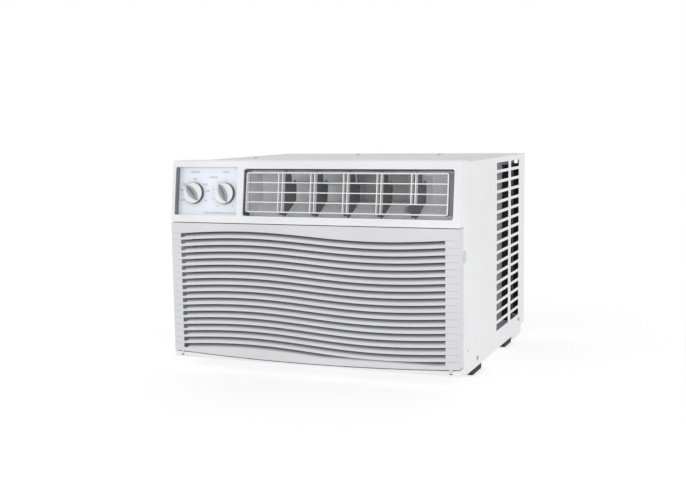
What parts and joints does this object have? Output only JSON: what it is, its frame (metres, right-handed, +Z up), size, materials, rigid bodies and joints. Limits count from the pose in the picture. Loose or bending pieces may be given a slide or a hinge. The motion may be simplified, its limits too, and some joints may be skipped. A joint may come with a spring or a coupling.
{
  "type": "window air conditioner",
  "caption": "Window air conditioner with a wavy hinged intake grille, a swinging outlet grid with linked vanes and two rotary controls.",
  "frame": {"origin": "middle of the unit's box, on the plane of the feet", "axes": "+X to the right seen from the room, +Y from the room towards outdoors, +Z up"},
  "size_m": [0.5632, 0.535, 0.393],
  "materials": {
    "painted_steel": "satin",
    "white_plastic": "satin",
    "grille_plastic": "satin",
    "knob_plastic": "satin",
    "control_print": "satin",
    "grey_plastic": "satin",
    "black_plastic": "satin",
    "filter_plastic": "satin",
    "filter_mesh": "matte",
    "duct_foam": "matte",
    "black_foam": "matte",
    "black_rubber": "matte",
    "zinc_steel": "satin",
    "galvanised_steel": "satin",
    "black_enamel": "gloss",
    "aluminium": "satin",
    "copper": "satin"
  },
  "bodies": {
    "chassis": {"base_pan": "painted_steel", "mounting_feet": "black_rubber", "side_panel_left": "painted_steel", "side_panel_right": "painted_steel", "top_cover": "painted_steel", "cabinet_screws": "zinc_steel", "frame_screws": "zinc_steel", "front_frame": "white_plastic", "grille_hinge_pins": "zinc_steel", "cord_inlet": "black_rubber", "control_plate": "control_print", "selector_switch": "black_plastic", "thermostat_body": "zinc_steel", "thermostat_bulb": "copper", "control_box": "galvanised_steel", "run_capacitor": "aluminium", "capacitor_clamp": "galvanised_steel", "outlet_seal": "black_foam", "outlet_duct": "duct_foam", "grid_pivot_bracket": "grey_plastic", "blower_scroll": "duct_foam", "fan_motor": "galvanised_steel", "motor_bracket": "galvanised_steel", "bulkhead": "painted_steel", "fan_shroud": "painted_steel", "evaporator_fins": "aluminium", "evaporator_bends": "copper", "drip_tray": "duct_foam", "condenser_fins": "aluminium", "condenser_bends": "copper", "condenser_feet": "galvanised_steel", "compressor": "black_enamel", "compressor_grommets": "black_rubber", "compressor_bolts": "zinc_steel", "terminal_cover": "black_plastic", "accumulator": "black_enamel", "filter_drier": "copper", "discharge_tube": "copper", "suction_tube": "copper", "compressor_inlet": "copper", "capillary_tube": "copper"},
    "grille": {"intake_grille": "grille_plastic", "filter_frame": "filter_plastic", "filter_mesh": "filter_mesh", "filter_clips": "grille_plastic"},
    "grid": {"swing_grid": "white_plastic"},
    "vane_a": {"vane_1": "grey_plastic"},
    "vane_b": {"vane_2": "grey_plastic"},
    "vane_c": {"vane_3": "grey_plastic"},
    "vane_d": {"vane_4": "grey_plastic"},
    "vane_lever": {"vane_5": "grey_plastic"},
    "vane_link": {"vane_link_bar": "grey_plastic"},
    "selector": {"selector_knob": "knob_plastic", "selector_shaft": "zinc_steel"},
    "thermostat": {"thermostat_knob": "knob_plastic", "thermostat_shaft": "zinc_steel"},
    "rotor": {"motor_shaft": "zinc_steel", "blower_wheel": "black_plastic", "condenser_fan": "black_plastic"}
  },
  "joints": [
    {"name": "grille_tilt", "type": "hinge", "parent": "chassis", "child": "grille", "pos_m": [0, -0.264, 0.0287], "axis": [1, 0, 0], "range_deg": [0, 45]},
    {"name": "grid_swing", "type": "hinge", "parent": "chassis", "child": "grid", "pos_m": [0, -0.24604, 0.33478], "axis": [1, 0, 0], "range_deg": [-12, 12]},
    {"name": "vane_turn", "type": "hinge", "parent": "chassis", "child": "vane_lever", "pos_m": [0.1881, -0.21697, 0.32972], "axis": [0, 0.1414, 0.9899], "range_deg": [-20, 30]},
    {"name": "link_level", "type": "hinge", "parent": "vane_lever", "child": "vane_link", "pos_m": [0.19357, -0.18451, 0.34831], "axis": [0, 0.1414, 0.9899], "range_deg": [-30, 20]},
    {"name": "selector_turn", "type": "hinge", "parent": "chassis", "child": "selector", "pos_m": [-0.2385, -0.25439, 0.33294], "axis": [0, -0.9899, 0.1414], "range_deg": [-90, 45]},
    {"name": "thermostat_turn", "type": "hinge", "parent": "chassis", "child": "thermostat", "pos_m": [-0.1735, -0.25439, 0.33294], "axis": [0, -0.9899, 0.1414], "range_deg": [-160, 110]},
    {"name": "rotor_spin", "type": "hinge", "parent": "chassis", "child": "rotor", "pos_m": [0.04, -0.0175, 0.172], "axis": [0, 1, 0], "continuous": true},
    {"name": "vane_a_turn", "type": "hinge", "parent": "chassis", "child": "vane_a", "pos_m": [-0.0659, -0.21697, 0.32972], "axis": [0, 0.1414, 0.9899], "range_deg": [-20, 30]},
    {"name": "vane_b_turn", "type": "hinge", "parent": "chassis", "child": "vane_b", "pos_m": [-0.0024, -0.21697, 0.32972], "axis": [0, 0.1414, 0.9899], "range_deg": [-20, 30]},
    {"name": "vane_c_turn", "type": "hinge", "parent": "chassis", "child": "vane_c", "pos_m": [0.0611, -0.21697, 0.32972], "axis": [0, 0.1414, 0.9899], "range_deg": [-20, 30]},
    {"name": "vane_d_turn", "type": "hinge", "parent": "chassis", "child": "vane_d", "pos_m": [0.1246, -0.21697, 0.32972], "axis": [0, 0.1414, 0.9899], "range_deg": [-20, 30]}
  ],
  "couplings": [
    {"joint": "vane_a_turn", "follows": "vane_turn", "ratio": 1},
    {"joint": "vane_b_turn", "follows": "vane_turn", "ratio": 1},
    {"joint": "vane_c_turn", "follows": "vane_turn", "ratio": 1},
    {"joint": "vane_d_turn", "follows": "vane_turn", "ratio": 1},
    {"joint": "link_level", "follows": "vane_turn", "ratio": -1}
  ]
}
